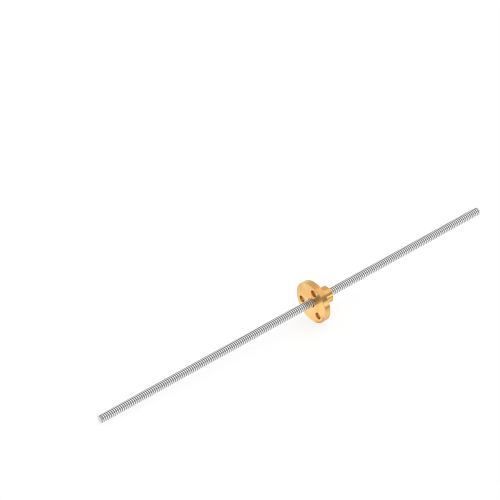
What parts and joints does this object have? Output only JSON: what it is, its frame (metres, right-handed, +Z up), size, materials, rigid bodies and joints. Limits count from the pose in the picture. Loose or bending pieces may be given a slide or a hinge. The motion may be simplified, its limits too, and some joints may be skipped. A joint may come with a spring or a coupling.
{
  "type": "trapezoidal lead screw",
  "caption": "Fine single-start trapezoidal lead screw, plain-cut ends, with a turned flanged nut that travels along it.",
  "frame": {"origin": "on the surface that the pair lies on, under the middle of the screw", "axes": "+X along the screw, from the end that rests on the surface towards the far end, which is a little higher; +Z up"},
  "size_m": [0.2176, 0.02, 0.0201],
  "materials": {
    "threaded_steel": "rolled, bright on the crests",
    "turned_brass": "fine turned, polished faces"
  },
  "bodies": {
    "screw": {"lead_screw": "threaded_steel"},
    "nut": {"flanged_nut": "turned_brass"}
  },
  "joints": [
    {"name": "nut_travel", "type": "slide", "parent": "screw", "child": "nut", "axis": [0.9976, 0, 0.0685], "range_m": [-0.117, 0.089]}
  ]
}
